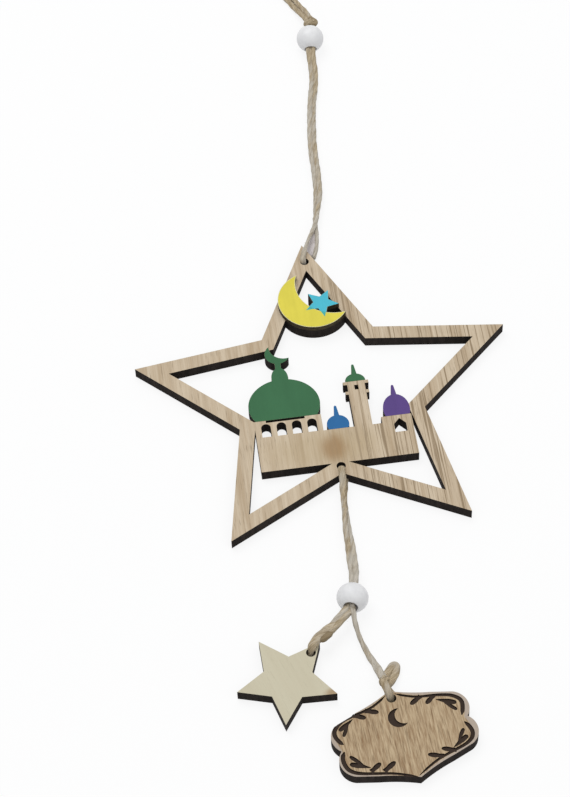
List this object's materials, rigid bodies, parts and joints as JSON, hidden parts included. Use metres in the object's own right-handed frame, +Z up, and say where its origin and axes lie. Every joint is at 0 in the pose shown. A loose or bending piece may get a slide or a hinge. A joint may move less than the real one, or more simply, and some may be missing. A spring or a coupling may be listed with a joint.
{
  "type": "eid star ornament",
  "caption": "Flat hanging holiday ornament: a plywood star framing a mosque skyline and a crescent, on a beaded twine hanger, with a small star and a plaque dangling below.",
  "frame": {"origin": "on the table under the middle of the laid-out plywood pieces", "axes": "+Z up out of the table towards the ornament's front, +Y towards the hanging loop, +X to the ornament's right as seen from the front"},
  "size_m": [0.0998, 0.3035, 0.008],
  "materials": {
    "plywood": "raw sanded face with burnt laser edges",
    "applique": "satin paint",
    "pendant": "raw sanded face with burnt laser edges",
    "plaque": "raw grainy face with burnt laser edges",
    "bead": "white satin paint",
    "twine": "twisted natural jute"
  },
  "bodies": {
    "star": {"star_plate": "plywood", "moon_applique": "applique", "hanger_eye": "twine", "drop_eye": "twine"},
    "hanger": {"hanger_pair": "twine", "hanger_knot": "twine", "hanger_loop": "twine"},
    "top_bead": {"upper_bead": "bead"},
    "drop": {"drop_pair": "twine"},
    "drop_bead": {"lower_bead": "bead"},
    "star_cord": {"star_strand": "twine"},
    "star_pendant": {"small_star": "pendant", "small_star_eye": "twine"},
    "plaque_cord": {"plaque_strand": "twine"},
    "plaque_pendant": {"plaque": "plaque", "plaque_tie": "twine"}
  },
  "joints": [
    {"name": "hanger_swing", "type": "hinge", "parent": "star", "child": "hanger", "pos_m": [0.005, 0.0918, 0.0015], "axis": [0, 0, 1], "range_deg": [-45, 45]},
    {"name": "upper_bead_slide", "type": "slide", "parent": "hanger", "child": "top_bead", "axis": [0.09, 0.9959, 0], "range_m": [-0.005, 0]},
    {"name": "drop_swing", "type": "hinge", "parent": "star", "child": "drop", "pos_m": [-0.0001, -0.0017, 0.0017], "axis": [0, 0, 1], "range_deg": [-25, 25]},
    {"name": "lower_bead_slide", "type": "slide", "parent": "drop", "child": "drop_bead", "axis": [0.16, 0.9871, 0], "range_m": [0, 0.005]},
    {"name": "star_cord_swing", "type": "hinge", "parent": "drop", "child": "star_cord", "pos_m": [-0.00526, -0.03775, 0.004], "axis": [0, 0, 1], "range_deg": [-20, 10]},
    {"name": "small_star_swing", "type": "hinge", "parent": "star_cord", "child": "star_pendant", "pos_m": [-0.0106, -0.0415, 0.0032], "axis": [0, 0, 1], "range_deg": [-25, 12]},
    {"name": "plaque_cord_swing", "type": "hinge", "parent": "drop", "child": "plaque_cord", "pos_m": [-0.00258, -0.03797, 0.004], "axis": [0, 0, 1], "range_deg": [-8, 22]},
    {"name": "plaque_swing", "type": "hinge", "parent": "plaque_cord", "child": "plaque_pendant", "pos_m": [0.00075, -0.0549, 0.0014], "axis": [0, 0, 1], "range_deg": [-12, 25]}
  ]
}
